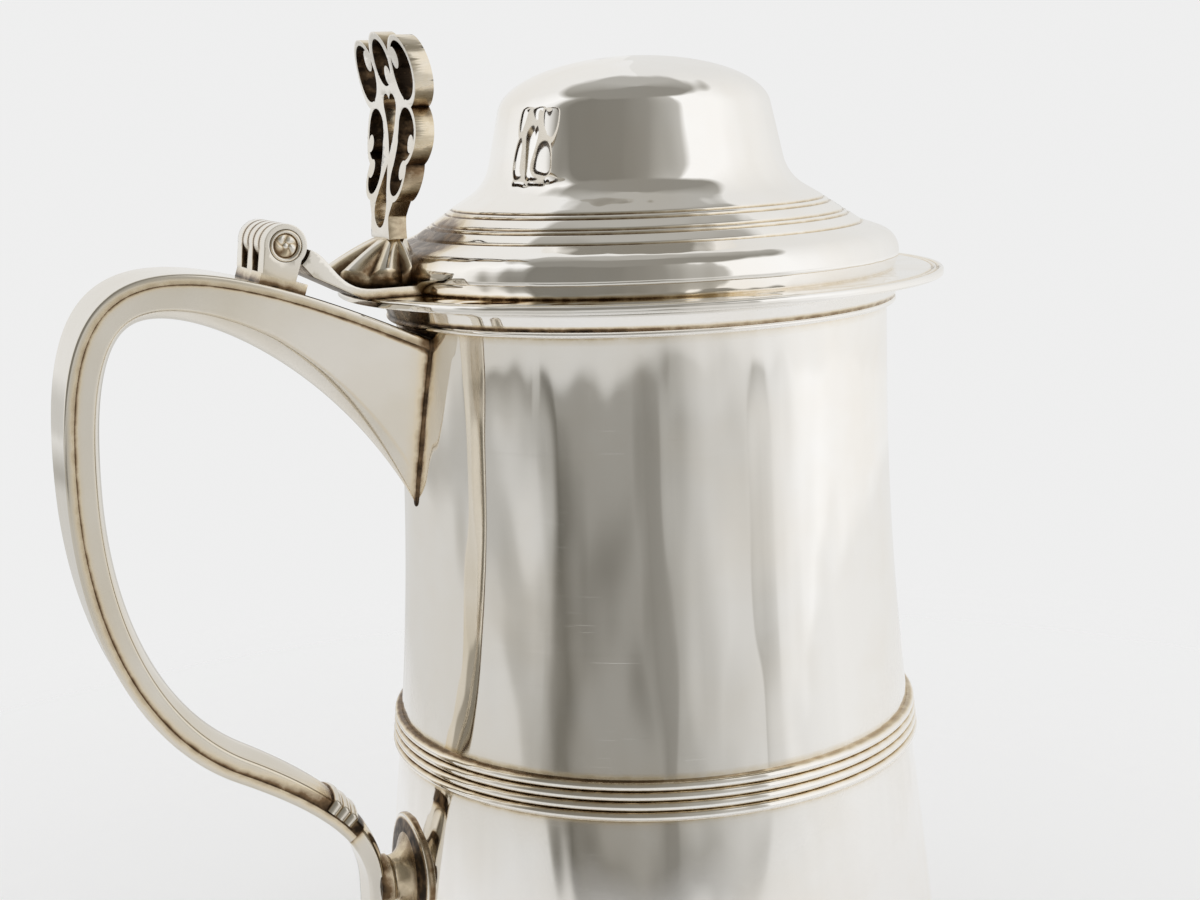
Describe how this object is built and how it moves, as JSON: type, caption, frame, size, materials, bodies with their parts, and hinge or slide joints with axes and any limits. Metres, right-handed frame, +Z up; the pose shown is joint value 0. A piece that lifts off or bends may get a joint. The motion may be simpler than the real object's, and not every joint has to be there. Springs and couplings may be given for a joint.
{
  "type": "silver tankard",
  "caption": "Tapering silver tankard with a reeded girdle, hinged domed lid, pierced scroll thumbpiece and hollow scroll handle on a strut.",
  "frame": {"origin": "centre of the foot, on the plane it stands on", "axes": "+Z up along the drum axis, -X towards the handle, Y along the hinge pin"},
  "size_m": [0.1774, 0.1288, 0.2035],
  "materials": {
    "raised_silver": "polished hand-raised silver with fine scratches",
    "cast_silver": "polished cast silver, dark in the recesses",
    "hinge_wire": "drawn silver wire, worn"
  },
  "bodies": {
    "tankard": {"drum": "raised_silver", "bottom_plate": "raised_silver", "rim_band": "raised_silver", "girdle_band": "raised_silver", "foot_ring": "raised_silver", "hinge_block": "cast_silver", "hinge_pin": "hinge_wire", "pin_caps": "cast_silver", "handle_shell": "raised_silver", "handle_strap": "raised_silver", "handle_collar": "cast_silver", "tail_scroll": "cast_silver", "tail_button": "cast_silver", "lower_strut": "cast_silver", "strut_plate": "raised_silver"},
    "lid": {"lid_cover": "raised_silver", "lid_bezel": "raised_silver", "lid_leaf": "cast_silver", "shell_plinth": "cast_silver", "thumbpiece": "cast_silver"}
  },
  "joints": [
    {"name": "lid_hinge", "type": "hinge", "parent": "tankard", "child": "lid", "pos_m": [-0.0725, 0, 0.167], "axis": [0, -1, 0], "range_deg": [0, 110]}
  ]
}
